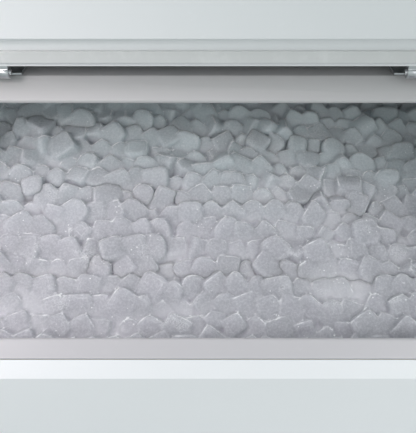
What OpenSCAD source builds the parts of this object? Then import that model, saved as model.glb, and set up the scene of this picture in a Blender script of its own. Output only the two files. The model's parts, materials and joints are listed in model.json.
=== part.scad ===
// Commercial ice maker: an ice-making head standing on an insulated storage bin
// with a sloped front, a lift-up door and a bed of ice inside.
// +Z is up, the front faces -Y, and the origin is on the floor under the middle.

/* [Cabinet] */
// Overall width of the bin and the head
width = 762; // [700:2:800]
// Overall depth of the bin
depth = 860; // [840:2:880]
// Height of the bin's underside above the floor
leg_h = 150; // [140:1:160]
// Height of the bin body without its legs
bin_h = 870; // [850:1:900]
// Radius of the bin's upright corners
corner_r = 14; // [10:1:18]
// Thickness of the bin's outer sheet
skin = 1.5; // [1.2:0.1:2]

/* [Opening] */
// Slope of the bin's front opening above the horizontal
slope = 45; // [43:0.5:47]
// Width of the frame's sill, measured up the slope
sill_w = 23; // [20:1:26]
// Clear length of the opening, measured up the slope
opening_l = 271; // [265:1:275]
// Clear width of the opening
opening_w = 640; // [600:2:650]
// Width of the header bar over the opening, measured up the slope
header_w = 32; // [30:1:34]
// Width of the cabinet's folded edge round the opening
flange = 20; // [18:1:22]
// How far the frame stands proud of the cabinet's folded edge
proud = 1; // [0.6:0.2:1.4]

/* [Door] */
// Thickness of the door
door_t = 39; // [35:1:40]
// Angle that the door swings through from shut to open
door_swing = 138; // [137:0.5:138]
// Thickness of the door's rubber seal
seal_t = 4.4; // [4:0.1:4.6]

/* [Head] */
// Depth of the ice-making head
head_d = 580; // [575:1:585]
// Height of the ice-making head
head_h = 560; // [550:1:580]
// Thickness of the head's sheet panels
panel_t = 1.2; // [1:0.1:1.5]

/* [Ice] */
// Height of the ice where it meets the bin's front wall
ice_front = 768; // [750:1:775]
// Slope of the ice towards the door
ice_slope = 27; // [24:0.5:28]

/* [Hidden] */
$fn = 48;
gap = 0.4;
front = -depth / 2;
back = depth / 2;
deck = leg_h + bin_h;

// The slope runs s millimetres up from the cabinet's lower front corner, with n square to it.
slope_l = flange + sill_w + opening_l + header_w;
slope_z = deck - slope_l * sin(slope);
slope_top_y = front + slope_l * cos(slope);
sill_end = flange + sill_w;
header_start = sill_end + opening_l;
frame_t = 6;
nose_r = 3.5;
wall_leg = 3;
function slope_y(s, n) = front + s * cos(slope) - n * sin(slope);
function slope_zz(s, n) = slope_z + s * sin(slope) + n * cos(slope);

// The liner's inside faces.
liner_t = 3;
liner_x = 333;
sill_nose = [slope_y(sill_end - nose_r, proud - nose_r), slope_zz(sill_end - nose_r, proud - nose_r)];
liner_front = sill_nose[0] + nose_r - wall_leg - gap;
liner_back = back - 45;
liner_floor = leg_h + 53;
spigot = 10 - gap;
drain_y = 300;
drain_z = leg_h + 26;
liner_r = 36;
rim_t = 6;

// The door, in the slope's own measures when it is shut.
hinge_s = slope_l - 3;
hinge_n = 18;
hinge_y = slope_y(hinge_s, hinge_n);
hinge_z = slope_zz(hinge_s, hinge_n);
hinge_r = 7;
hinge_x = 250;
pin_r = 3;
door_n = proud + 0.6 + seal_t;
door_end = hinge_s - 11;
door_start = 12;
door_w = 690;
door_skin = 1.5;
seal_w = 14;
seal_x = opening_w / 2 + 17;
seal_low = flange + 6;
seal_high = header_start + seal_w;
plug_depth = 14;
plug_x = 296;
plug_low = sill_end + 14;
plug_high = header_start - 16;

// The head, its base and its two rooms.
seat_t = 4;
head_front = back - head_d;
head_low = deck + seat_t;
head_high = head_low + head_h;
base_h = 30;
base_t = 3;
base_top = head_low + base_h;
base_floor = head_low + base_t;
drop_x = 175;
drop_y = 30;
drop_w = 320;
drop_d = 236;
wrap = 30;
inner_x = width / 2 - panel_t;
wall_x = -30;
screw_z = base_h + 8;
wall_t = 2;

// Ice bed.
ice_gap = 2;
ice_peak_y = -80;
ice_peak_z = ice_front + (ice_peak_y - liner_front) * tan(ice_slope);

// Levelling legs and feet.
leg_x = width / 2 - 62;
leg_y = depth / 2 - 62;
stud_r = 8;
leg_clear = 28;

// Grille, filter and control plate on the head's front.
grille_x0 = -345;
grille_x1 = -45;
grille_z0 = head_low + 372;
grille_z1 = head_low + 532;
filter_t = 8;
filter_y = head_front + 14;
filter_z0 = grille_z0 - 6;
filter_z1 = grille_z1 + 6;
switch_x = 250;
switch_z = head_low + 470;
switch_w = 26;
switch_h = 36;
rocker_y = head_front + 5;

// Cooling parts in the left room.
coil_x0 = -362;
coil_x1 = -62;
coil_z0 = head_low + 246;
coil_z1 = head_low + 546;
coil_y = head_front + 30;
coil_t = 45;
fan_x = -212;
fan_z = head_low + 396;
fan_y = coil_y + coil_t + 24;
fan_r = 104;
comp_x = -210;
comp_y = 290;
comp_r = 86;

// Ice-making parts in the right room.
evap_x0 = 0;
evap_x1 = 350;
evap_y = 180;
evap_t = 22;
evap_z0 = head_low + 176;
evap_z1 = head_low + 496;
curtain_y = 146;
curtain_t = 3;
curtain_pivot_z = evap_z1 + 16;
trough_y0 = 168;
trough_y1 = 300;
trough_z0 = base_floor + 26;
trough_z1 = trough_z0 + 80;
pump_x = 290;
pump_y = 252;
tube_x = 337;
tube_z = evap_z1 + 22;
float_x = 40;
float_y = 250;
probe_x = 14;
probe_y = 168;
probe_z = evap_z1 - 26;
tube_r = 5;

// A rectangle with round corners, centred.
module rounded(size, r) {
    square([size[0] - 2 * r, size[1]], center = true);
    square([size[0], size[1] - 2 * r], center = true);
    for (sx = [-1, 1], sy = [-1, 1])
        translate([sx * (size[0] / 2 - r), sy * (size[1] / 2 - r)]) circle(r);
}

// A block given by its two corners.
module block(low, high) {
    translate(low) cube(high - low);
}

// A rod from the point p, length l, along the axis "x", "y" or "z".
module rod(p, r, l, axis = "z") {
    turn = axis == "x" ? [0, 90, 0] : axis == "y" ? [-90, 0, 0] : [0, 0, 0];
    translate(p) rotate(turn) cylinder(r = r, h = l);
}

// A profile drawn in (y, z), drawn out along x from x0 to x1.
module along_x(x0, x1) {
    translate([x0, 0, 0]) rotate([90, 0, 90]) linear_extrude(x1 - x0) children();
}

// Children drawn in the slope's measures: y runs up the slope and z stands out of it.
module on_slope() {
    translate([0, front, slope_z]) rotate([slope, 0, 0]) children();
}

// Children drawn as if the door were shut, swung to where the open door stands.
module swung_open() {
    translate([0, hinge_y, hinge_z]) rotate([-door_swing, 0, 0])
        translate([0, -hinge_y, -hinge_z]) on_slope() children();
}

// The cabinet's side profile in (y, z), taken in by a distance on every edge.
module bin_profile(t) {
    lift = t * tan(slope) - t / cos(slope);
    top_y = front + (deck - t - slope_z + t / cos(slope)) / tan(slope);
    polygon([
        [front + t, leg_h + t], [back - t, leg_h + t], [back - t, deck - t],
        [top_y, deck - t], [front + t, slope_z + lift]
    ]);
}

// The whole cabinet as a solid, taken in by a distance on every side.
module bin_solid(t) {
    intersection() {
        along_x(-width / 2 + t, width / 2 - t) bin_profile(t);
        linear_extrude(deck + 1) rounded([width - 2 * t, depth - 2 * t], corner_r - t);
    }
}

// The liner's inside or outside as a solid, open upwards.
module tub_solid(t, high) {
    y0 = liner_front - t;
    y1 = liner_back + t;
    translate([0, (y0 + y1) / 2, liner_floor - t]) linear_extrude(high)
        rounded([2 * (liner_x + t), y1 - y0], liner_r + t);
}

// Everything below the opening's plane and the deck, taken down by t.
module under_cover(t) {
    along_x(-width, width) bin_profile(t);
}

module bin_shell() {
    color("white") difference() {
        bin_solid(0);
        bin_solid(skin);
        block([-width, front - 1, 0], [width, back + 1, leg_h + skin + 1.6]);
        translate([0, 0, slope_z - 100])
            linear_extrude(bin_h) rounded_hole();
        // The back wall has the hole for the drain fitting, low down.
        rod([0, back - 20, drain_z], 14, 40, "y");
    }
}

// Plan of the hole that the cabinet's folded edge leaves open.
module rounded_hole(inset = 0) {
    y0 = front + flange * cos(slope) + inset;
    y1 = back - flange - inset;
    translate([0, (y0 + y1) / 2]) rounded([width - 2 * flange - 2 * inset, y1 - y0], 6);
}

module bin_base() {
    color("silver") difference() {
        translate([0, 0, leg_h]) linear_extrude(2.5)
            rounded([width - 2 * skin - 2 * gap, depth - 2 * skin - 2 * gap], corner_r - skin);
        for (sx = [-1, 1], sy = [-1, 1], dx = [-20, 20])
            rod([sx * leg_x + dx, sy * leg_y, leg_h - 1], 3.3, 5);
    }
}

module bin_foam() {
    color("khaki") difference() {
        intersection() {
            bin_solid(skin + gap);
            under_cover(frame_t + 2);
            translate([0, 0, leg_h + 2.5 + gap]) linear_extrude(bin_h)
                square([2 * width, 2 * depth], center = true);
        }
        tub_solid(liner_t + gap, bin_h);
        drain_path(10 + gap);
    }
}

module bin_liner() {
    color("white") difference() {
        intersection() {
            tub_solid(liner_t, bin_h);
            under_cover(frame_t + 2.5);
        }
        tub_solid(0, bin_h);
        drain_path(10 + gap);
    }
}

// Ring that closes the insulation round the head's ice drop.
module bin_top_rim() {
    y0 = head_front;
    y1 = back - flange - gap;
    color("white") difference() {
        translate([0, (y0 + y1) / 2, deck - rim_t])
            linear_extrude(rim_t) rounded([width - 2 * flange - 2 * gap, y1 - y0], 7);
        translate([0, (y0 + 22 + liner_back - 6) / 2, deck - rim_t - 1])
            linear_extrude(rim_t + 2) rounded([2 * liner_x - 2.4, liner_back - 6 - y0 - 22], 20);
    }
}

// A strip of the opening's frame with a round nose on its opening edge.
module frame_strip(x0, x1, s0, s1, nose) {
    on_slope() {
        block([x0, min(s0, s1), proud - frame_t - 1], [x1, max(s0, s1), proud]);
        translate([x0, nose, proud - nose_r]) rotate([0, 90, 0]) cylinder(r = nose_r, h = x1 - x0);
    }
}

// Moulded sill and sides of the opening, in one piece.
module sill_frame() {
    half = width / 2 - flange - gap;
    leg_half = liner_x - liner_r - 1;
    color("gainsboro") {
        intersection() {
            frame_strip(-half, half, flange + gap, sill_end - nose_r, sill_end - nose_r);
            translate([0, 0, slope_z - 100]) linear_extrude(bin_h) rounded_hole(gap);
        }
        block([-leg_half, sill_nose[0] + nose_r - wall_leg, sill_nose[1] - 60],
            [leg_half, sill_nose[0] + nose_r, sill_nose[1]]);
        for (side = [-1, 1]) on_slope() {
            x0 = side * (opening_w / 2 + 3);
            x1 = side * half;
            block([min(x0, x1), sill_end - nose_r, proud - frame_t], [max(x0, x1), header_start - gap, proud]);
            translate([x0, sill_end - nose_r, proud - 3]) rotate([-90, 0, 0])
                cylinder(r = 3, h = header_start - gap - sill_end + nose_r);
        }
    }
}

// Bar over the opening: a folded channel with a round lower edge.
module door_header() {
    half = width / 2 - flange - gap;
    s0 = header_start + nose_r;
    nose = [slope_y(s0, proud - nose_r), slope_zz(s0, proud - nose_r)];
    top_y = front + (deck + proud - slope_z - proud / cos(slope)) / tan(slope);
    color("darkgray") {
        along_x(-half, half) polygon([
            [slope_y(s0, proud), slope_zz(s0, proud)], [top_y, deck + proud],
            [head_front - gap, deck + proud], [head_front - gap, deck + proud - 4],
            [top_y + 4, deck + proud - 4], [top_y + 4, deck + proud - 8],
            [slope_y(s0, proud - 2 * nose_r), slope_zz(s0, proud - 2 * nose_r)]
        ]);
        translate([-half, nose[0], nose[1]]) rotate([0, 90, 0]) cylinder(r = nose_r, h = 2 * half);
        block([-liner_x + gap, nose[0], nose[1] - nose_r],
            [liner_x - gap, head_front - gap, nose[1] - nose_r + wall_leg]);
        block([-liner_x + gap, head_front - gap - 3, nose[1] - nose_r],
            [liner_x - gap, head_front - gap, deck]);
    }
}

module drain_fitting() {
    color("dimgray") difference() {
        union() {
            drain_path(10);
            rod([0, drain_y, liner_floor], 20, 1.6);
            rod([0, back + gap, drain_z], 11, spigot, "y");
        }
        drain_path(8);
        rod([0, drain_y, drain_z], 8, 60);
        rod([0, drain_y, drain_z], 8, 200, "y");
    }
}

// The drain's way: down through the tub's floor, round an elbow and out of the back.
module drain_path(r) {
    rod([0, drain_y, drain_z], r, liner_floor - drain_z + 1.6);
    translate([0, drain_y, drain_z]) sphere(r);
    rod([0, drain_y, drain_z], r, back + 1 - drain_y, "y");
}

// Four legs: flanged tubes with a bore for each foot's stud.
module legs() {
    color("dimgray") for (sx = [-1, 1], sy = [-1, 1]) translate([sx * leg_x, sy * leg_y, 0]) difference() {
        rotate_extrude() polygon([
            [0, leg_clear], [19, leg_clear], [24, leg_h - 30], [24, leg_h - 6],
            [34, leg_h - 5], [34, leg_h], [0, leg_h]
        ]);
        rod([0, 0, leg_clear - 1], stud_r + 0.06, leg_h - leg_clear - 15);
        for (dx = [-20, 20]) rod([dx, 0, leg_h - 20], 3.3, 30);
    }
}

// A foot: a round pad, a hexagon to turn it by and its stud.
module foot(sx, sy) {
    color("gray") translate([sx * leg_x, sy * leg_y, 0]) {
        rotate_extrude() polygon([[0, 0], [24, 0], [25, 2], [25, 8], [17, 13], [0, 13]]);
        rod([0, 0, 12], stud_r, leg_h - leg_clear - 10);
        translate([0, 0, 12]) cylinder(r = 15, h = leg_clear - 12 - gap, $fn = 6);
    }
}

// The bed of loose ice, level with the tops of its cubes.
module ice_bed() {
    y0 = liner_front + wall_leg + gap + ice_gap;
    y1 = liner_back - ice_gap - 6;
    color("lightblue") intersection() {
        along_x(-width, width) polygon([
            [y0, liner_floor + ice_gap], [y1, liner_floor + ice_gap], [y1, ice_peak_z - 50],
            [100, ice_peak_z + 25], [0, ice_peak_z + 25], [ice_peak_y, ice_peak_z], [y0, ice_front]
        ]);
        translate([0, (y0 + y1) / 2, liner_floor]) linear_extrude(bin_h)
            rounded([2 * (liner_x - ice_gap), y1 - y0], liner_r - ice_gap);
    }
}

// Fixed hinge leaves on the header's top.
module hinge_brackets() {
    color("silver") for (side = [-1, 1]) difference() {
        translate([side * hinge_x, 0, 0]) union() {
            block([-30, hinge_y + 16, deck + proud], [30, head_front - 3, deck + proud + 3]);
            block([-10, hinge_y, deck + proud + 1.5], [10, hinge_y + 17, deck + proud + 6]);
            rod([-10, hinge_y, hinge_z], hinge_r, 20, "x");
        }
        rod([side * hinge_x - 40, hinge_y, hinge_z], pin_r + 0.05, 80, "x");
    }
}

module hinge_pins() {
    color("silver") for (side = [-1, 1]) {
        rod([side * hinge_x - 24, hinge_y, hinge_z], pin_r, 48, "x");
        rod([side * hinge_x + (side > 0 ? 24 : -26), hinge_y, hinge_z], pin_r + 2, 2, "x");
    }
}

// Moving hinge leaves on the door's edge.
module door_hinge_arms() {
    color("silver") swung_open() for (side = [-1, 1]) difference() {
        translate([side * hinge_x, 0, 0]) {
            for (d = [-1, 1]) translate([d * 16.25, 0, 0]) {
                block([-5.75, door_end, hinge_n - 5], [5.75, hinge_s, hinge_n + 5]);
                rod([-5.75, hinge_s, hinge_n], hinge_r, 11.5, "x");
            }
            block([-30, door_end, hinge_n + 8], [30, door_end + 3, hinge_n + 22]);
            for (d = [-1, 1])
                block([d * 16.25 - 5.75, door_end, hinge_n - 5], [d * 16.25 + 5.75, door_end + 3, hinge_n + 9]);
        }
        rod([side * hinge_x - 40, hinge_s, hinge_n], pin_r + 0.05, 80, "x");
    }
}

// The door's outline, taken in by t, from n0 to n1.
module door_slab(t, n0, n1, r) {
    mid = (door_start + door_end) / 2;
    translate([0, mid, n0]) linear_extrude(n1 - n0)
        rounded([door_w - 2 * t, door_end - door_start - 2 * t], r);
}

module door_outer() {
    color("white") swung_open() difference() {
        door_slab(0, door_n + liner_t + gap, door_n + door_t, 10);
        door_slab(door_skin, door_n, door_n + door_t - door_skin, 8.5);
    }
}

// The plug on the door's inner skin, taken in by t.
module door_plug(t, n0, n1) {
    mid = (plug_low + plug_high) / 2;
    translate([0, mid, n0]) linear_extrude(n1 - n0)
        rounded([2 * (plug_x - t), plug_high - plug_low - 2 * t], 24 - t);
}

module door_liner() {
    color("white") swung_open() difference() {
        union() {
            door_slab(0, door_n, door_n + liner_t, 10);
            door_plug(0, door_n - plug_depth, door_n + 1);
        }
        door_plug(liner_t, door_n - plug_depth + liner_t, door_n + liner_t + 1);
    }
}

module door_foam() {
    color("khaki") swung_open() {
        door_slab(door_skin + gap, door_n + liner_t + gap, door_n + door_t - door_skin - gap, 8);
        door_plug(liner_t + gap, door_n - plug_depth + liner_t + gap, door_n + liner_t + 1);
    }
}

module door_gasket() {
    color("whitesmoke") swung_open() difference() {
        block([-seal_x, seal_low, proud + 0.6], [seal_x, seal_high, door_n]);
        block([-seal_x + seal_w, seal_low + seal_w, 0], [seal_x - seal_w, seal_high - seal_w, door_n + 1]);
    }
}

// A pull lip across the door's free edge.
module door_handle() {
    n1 = door_n + door_t;
    color("dimgray") swung_open() difference() {
        union() {
            block([-260, 2, n1 - 24], [260, door_start, n1]);
            translate([-260, 2, n1 - 12]) rotate([0, 90, 0]) cylinder(r = 12, h = 520);
        }
        translate([-248, 2, n1 - 26]) rotate([0, 90, 0]) cylinder(r = 10, h = 496);
        block([-300, door_start - 0.01, 0], [300, door_start + 30, n1 + 1]);
    }
}

// Rubber stops on the head's front that the open door leans on.
module door_bumpers() {
    reach = hinge_y + (door_n + door_t - hinge_n) / cos(door_swing - 135)
        + 290 * tan(door_swing - 135);
    color("black") for (x = [-220, 220])
        rod([x, reach + 0.8, hinge_z + 290], 9, head_front - reach - 0.8, "y");
}

module head_gasket() {
    mid = (head_front + back) / 2;
    color("black") translate([0, mid, deck]) linear_extrude(seat_t - gap) difference() {
        rounded([width - 12, head_d - 12], 8);
        rounded([width - 60, head_d - 60], 8);
    }
}

// Tray under the head, with a raised edge round the ice drop.
module head_base() {
    mid = (head_front + back) / 2;
    color("lightgray") translate([0, 0, head_low]) difference() {
        union() {
            difference() {
                translate([0, mid, 0]) linear_extrude(base_h)
                    rounded([2 * inner_x - 2 * gap, head_d - 2 * panel_t - 2 * gap], 7);
                translate([0, mid, base_t]) linear_extrude(base_h)
                    rounded([2 * inner_x - 2 * gap - 2 * base_t, head_d - 2 * panel_t - 2 * gap - 2 * base_t], 4);
            }
            translate([drop_x, drop_y, 0]) linear_extrude(base_h) rounded([drop_w + 6, drop_d + 6], 14);
        }
        translate([drop_x, drop_y, -1]) linear_extrude(base_h + 2) rounded([drop_w, drop_d], 11);
    }
}

// The head's wall as a hollow prism between two depths.
module head_ring(z0, z1, out, t, r) {
    mid = (head_front + back) / 2;
    translate([0, mid, z0]) linear_extrude(z1 - z0) difference() {
        rounded([width - 2 * out, head_d - 2 * out], r);
        rounded([width - 2 * out - 2 * t, head_d - 2 * out - 2 * t], r - t);
    }
}

// Slots for air in a panel, as thin blocks in rows.
module air_slots(n, pitch, size) {
    for (k = [0:n - 1]) translate([0, 0, k * pitch]) block([0, 0, 0], size);
}

module side_panel(side) {
    color("silver") difference() {
        block([side > 0 ? inner_x : -width / 2, head_front + wrap + gap, head_low],
            [side > 0 ? width / 2 : -inner_x, back - 12, head_high - 14]);
        translate([side * inner_x - 5, 170, head_low + 300]) air_slots(9, 18, [10, 190, 7]);
    }
}

module back_panel() {
    color("silver") difference() {
        intersection() {
            head_ring(head_low, head_high - 14, 0, panel_t, 8);
            block([-width, back - 12 + gap, 0], [width, back + 1, head_high]);
        }
        translate([-330, back - 6, head_low + 240]) air_slots(12, 18, [260, 12, 8]);
        rod([320, back - 10, head_low + 90], 11.5, 20, "y");
        rod([200, back - 10, head_low + 60], 11.5, 20, "y");
        rod([-320, back - 10, head_low + 70], 11, 20, "y");
        for (x = [-365, 365], z = [screw_z, head_h / 2, head_h - 34])
            rod([x, back - 5, head_low + z], 2.2, 10, "y");
    }
}

module top_panel() {
    color("silver") {
        translate([0, (head_front + back) / 2, head_high - panel_t]) linear_extrude(panel_t)
            rounded([width, head_d], 8);
        head_ring(head_high - 14 + gap, head_high - panel_t / 2, 0, panel_t, 8);
    }
}

module front_panel() {
    color("silver") difference() {
        intersection() {
            head_ring(head_low, head_high - 14, 0, panel_t, 8);
            block([-width, head_front - 1, 0], [width, head_front + wrap, head_high]);
        }
        block([grille_x0, head_front - 5, grille_z0], [grille_x1, head_front + 8, grille_z1]);
        block([-width, filter_y - 2, filter_z0 - 2], [grille_x0 - 20, filter_y + filter_t + 2, filter_z1 + 2]);
        block([switch_x - switch_w / 2, head_front - 5, switch_z - switch_h / 2],
            [switch_x + switch_w / 2, head_front + 8, switch_z + switch_h / 2]);
        for (x = [-365, 365], z = [screw_z, head_h - 34])
            rod([x, head_front - 5, head_low + z], 2.2, 10, "y");
    }
    // Two folded rails behind it guide the air filter.
    color("silver") for (top = [false, true]) {
        z = top ? filter_z1 + gap : filter_z0 - gap - 2;
        lip = top ? z - 5 : z;
        block([coil_x0, head_front + panel_t / 2, z], [coil_x1, filter_y + filter_t + 3, z + 2]);
        block([coil_x0, filter_y - 3.4, lip], [coil_x1, filter_y - gap - 1, lip + 7]);
        block([coil_x0, filter_y + filter_t + gap + 1, lip], [coil_x1, filter_y + filter_t + 3, lip + 7]);
    }
}

// Framed slats that fill the front panel's window.
module front_grille() {
    rim = 12;
    pitch = 14.2;
    color("dimgray") {
        difference() {
            union() {
                block([grille_x0 - rim, head_front - 3, grille_z0 - rim],
                    [grille_x1 + rim, head_front - gap, grille_z1 + rim]);
                block([grille_x0 + gap, head_front - 3, grille_z0 + gap],
                    [grille_x1 - gap, head_front + 6, grille_z1 - gap]);
            }
            block([grille_x0 + 3, head_front - 10, grille_z0 + 3],
                [grille_x1 - 3, head_front + 10, grille_z1 - 3]);
        }
        for (z = [grille_z0 + 9:pitch:grille_z1 - 8]) along_x(grille_x0 + 2, grille_x1 - 2)
            translate([head_front + 1.5, z]) rotate(35) square([9, 1.8], center = true);
        for (x = [grille_x0 + 100, grille_x0 + 200])
            block([x - 1, head_front - 1, grille_z0 + 2], [x + 1, head_front + 4, grille_z1 - 2]);
    }
}

// Pan-head screws that hold the front panel and the back panel.
module panel_screws() {
    color("silver") {
        for (x = [-365, 365], z = [screw_z, head_h - 34]) screw([x, head_front, head_low + z], 90);
        for (x = [-365, 365], z = [screw_z, head_h / 2, head_h - 34])
            screw([x, back, head_low + z], -90);
    }
}

module screw(p, tip) {
    translate(p) rotate([tip, 0, 0]) difference() {
        rotate_extrude() polygon([
            [0, -8], [1.9, -8], [1.9, 0.05], [4.4, 0.05], [4.2, 1.2], [3, 2.1], [0, 2.4]
        ]);
        translate([-0.5, -2.5, 1.4]) cube([1, 5, 2]);
        translate([-2.5, -0.5, 1.4]) cube([5, 1, 2]);
    }
}

module partition() {
    color("lightgray") difference() {
        block([wall_x, head_front + panel_t + 2, base_top + gap],
            [wall_x + wall_t, back - panel_t - 2, head_high - 16]);
        rod([wall_x - 5, 340, head_low + 400], 8, 20, "x");
        rod([wall_x - 5, 360, head_low + 220], 8, 20, "x");
    }
}

// Air filter: a framed mesh with a pull cap outside the cabinet.
module air_filter() {
    x0 = -width / 2;
    color("gray") {
        difference() {
            block([x0, filter_y, filter_z0], [grille_x1 + 6, filter_y + filter_t, filter_z1]);
            block([x0 + 24, filter_y - 1, filter_z0 + 8],
                [grille_x1 - 2, filter_y + filter_t + 1, filter_z1 - 8]);
        }
        for (x = [x0 + 60:40:grille_x1 - 20])
            block([x, filter_y + 3, filter_z0 + 7], [x + 2, filter_y + 5, filter_z1 - 7]);
        for (z = [filter_z0 + 30:28:filter_z1 - 20])
            block([x0 + 23, filter_y + 3, z], [grille_x1 - 1, filter_y + 5, z + 2]);
        block([x0 - 3, filter_y - 5, filter_z0 - 5], [x0 - gap / 2, filter_y + filter_t + 5, filter_z1 + 5]);
        block([x0 - 1, filter_y, filter_z0 + 10], [x0 + 1, filter_y + filter_t, filter_z1 - 10]);
    }
}

// Finned condenser with end plates, return bends and the filter's two rails.
module condenser() {
    y0 = coil_y;
    y1 = coil_y + coil_t;
    color("silver") {
        for (x = [coil_x0, coil_x1 - 2]) block([x, y0, coil_z0], [x + 2, y1, coil_z1]);
        for (k = [1:23]) block([coil_x0 + k * 12.4, y0 + 2, coil_z0 + 4],
            [coil_x0 + k * 12.4 + 0.8, y1 - 2, coil_z1 - 4]);
    }
    color("peru") for (k = [0:8], y = [y0 + 13, y0 + 32])
        rod([coil_x0 - 4, y, coil_z0 + 22 + k * 32], 4.5, coil_x1 - coil_x0 + 8, "x");
}

module fan_shroud() {
    y0 = coil_y + coil_t + gap;
    color("dimgray") difference() {
        union() {
            block([coil_x0, y0, coil_z0], [coil_x1, y0 + 3, coil_z1]);
            rod([fan_x, y0, fan_z], fan_r + 8, 22, "y");
        }
        rod([fan_x, y0 - 1, fan_z], fan_r + 4, 30, "y");
    }
}

// Fan motor on a three-armed bracket behind the shroud.
module fan_motor() {
    y0 = fan_y + 22;
    plate_y = coil_y + coil_t + gap + 3;
    color("dimgray") difference() {
        union() {
            rod([fan_x, y0, fan_z], 40, 70, "y");
            rod([fan_x, y0 - 6, fan_z], 14, 8, "y");
            for (a = [90, 210, 330]) translate([fan_x, 0, fan_z]) rotate([0, a, 0]) {
                block([30, y0 + 20, -8], [fan_r + 22, y0 + 23, 8]);
                block([fan_r + 19, plate_y, -8], [fan_r + 22, y0 + 23, 8]);
                block([fan_r + 12, plate_y, -8], [fan_r + 22, plate_y + 2, 8]);
            }
        }
        rod([fan_x, y0 - 10, fan_z], 4.06, 50, "y");
    }
}

module fan_blade() {
    color("gray") translate([fan_x, fan_y, fan_z]) rotate([-90, 0, 0]) {
        difference() {
            rod([0, 0, -8], 26, 20);
            rod([0, 0, 2], 21, 20);
        }
        rod([0, 0, 0], 4, 54);
        for (k = [0:4]) rotate(k * 72) difference() {
            translate([24, 0, 2]) rotate([28, 0, 0]) translate([0, -32, -1]) cube([fan_r, 64, 2]);
            difference() {
                rod([0, 0, -60], fan_r + 80, 120);
                rod([0, 0, -61], fan_r - 4, 122);
            }
            rod([0, 0, -60], 20, 120);
        }
    }
}

// Hermetic compressor with its stub tubes and base.
module compressor() {
    z = base_floor;
    color("black") translate([comp_x, comp_y, 0]) {
        rotate_extrude() polygon([
            [0, z + 30], [70, z + 30], [comp_r, z + 46], [comp_r, z + 96], [comp_r + 3, z + 97],
            [comp_r + 3, z + 101], [comp_r, z + 102], [comp_r, z + 178], [66, z + 206], [0, z + 214]
        ]);
        difference() {
            translate([0, 0, z + 24]) linear_extrude(6) rounded([200, 130], 16);
            for (sx = [-1, 1], sy = [-1, 1]) rod([sx * 84, sy * 50, z], 7.5, 60);
        }
        block([comp_r - 8, -26, z + 90], [comp_r + 22, 26, z + 150]);
    }
}

module compressor_grommets() {
    z = base_floor;
    color("black") for (sx = [-1, 1], sy = [-1, 1])
        translate([comp_x + sx * 84, comp_y + sy * 50, 0]) rotate_extrude() polygon([
            [3, z], [14, z], [14, z + 24 - gap], [7, z + 24 - gap],
            [7, z + 31], [12, z + 31], [12, z + 35], [3, z + 35]
        ]);
}

// Ice-forming grid: a back plate with rows of cells open to the front.
module evaporator() {
    cell = 32;
    color("silver") difference() {
        block([evap_x0, evap_y, evap_z0], [evap_x1, evap_y + evap_t, evap_z1]);
        for (i = [0:10], k = [0:9]) translate([evap_x0 + 0.7 + i * 31.8, 0, evap_z0 + 1 + k * 31.9])
            block([0, evap_y - 1, 0], [cell - 2, evap_y + evap_t - 2, cell - 2]);
    }
}

// Refrigerant tube that runs to and fro over the back of the grid.
module evaporator_coil() {
    y = evap_y + evap_t + tube_r + gap;
    rows = 8;
    pitch = (evap_z1 - evap_z0 - 40) / (rows - 1);
    color("peru") {
        for (k = [0:rows - 1]) rod([evap_x0 + 30, y, evap_z0 + 20 + k * pitch], tube_r,
            evap_x1 - evap_x0 - 60, "x");
        for (k = [0:rows - 2]) {
            right = k % 2 == 0;
            translate([right ? evap_x1 - 30 : evap_x0 + 30, y, evap_z0 + 20 + (k + 0.5) * pitch])
                rotate([90, 0, 0]) rotate([0, 0, right ? -90 : 90])
                    rotate_extrude(angle = 180) translate([pitch / 2, 0]) circle(tube_r);
        }
    }
}

// Two side plates and a crossbar that carry the grid, the curtain and the tube.
module evaporator_frame() {
    y0 = curtain_y - 10;
    y1 = evap_y + evap_t + 22;
    color("lightgray") difference() {
        union() {
            for (x = [evap_x0 - 6, evap_x1 + gap]) {
                block([x, y0, base_floor], [x + 6 - gap, y1, tube_z + 14]);
                block([x - 6, y0, base_floor], [x + 12 - gap, y0 + 14, base_floor + 3]);
            }
            block([evap_x0 - 6, y1 - 6, evap_z1 - 40], [evap_x1 + 6, y1, evap_z1 - 18]);
        }
        rod([evap_x0 - 20, curtain_y + curtain_t / 2, curtain_pivot_z], 5.05, 400, "x");
        rod([evap_x0 - 20, probe_y - 4, probe_z], 4.05, 30, "x");
        rod([evap_x0 - 20, evap_y + evap_t / 2, tube_z], 8.2, 30, "x");
    }
}

// Hinged sheet that keeps the water on the grid and swings when ice drops.
module water_curtain() {
    color("white") {
        block([evap_x0 + 4, curtain_y, evap_z0 - 12], [evap_x1 - 4, curtain_y + curtain_t, curtain_pivot_z]);
        rod([evap_x0 - 9, curtain_y + curtain_t / 2, curtain_pivot_z], 5, evap_x1 - evap_x0 + 18, "x");
        for (k = [1:4]) block([evap_x0 + k * 70 - 2, curtain_y - 5, evap_z0 - 12],
            [evap_x0 + k * 70 + 2, curtain_y + 1, curtain_pivot_z - 20]);
    }
}

module water_trough() {
    x0 = evap_x0 + gap;
    x1 = evap_x1 - gap;
    color("white") difference() {
        union() {
            block([x0, trough_y0, trough_z0], [x1, trough_y1, trough_z1]);
            for (x = [x0, x1 - 20], y = [trough_y0 + 4, trough_y1 - 24])
                block([x, y, base_floor], [x + 20, y + 20, trough_z0 + 1]);
            rod([200, trough_y1 - 1, head_low + 60], 11, 9, "y");
        }
        block([x0 + 3, trough_y0 + 3, trough_z0 + 3], [x1 - 3, trough_y1 - 3, trough_z1 + 1]);
        rod([200, trough_y1 - 10, head_low + 60], 6, 30, "y");
    }
}

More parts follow.
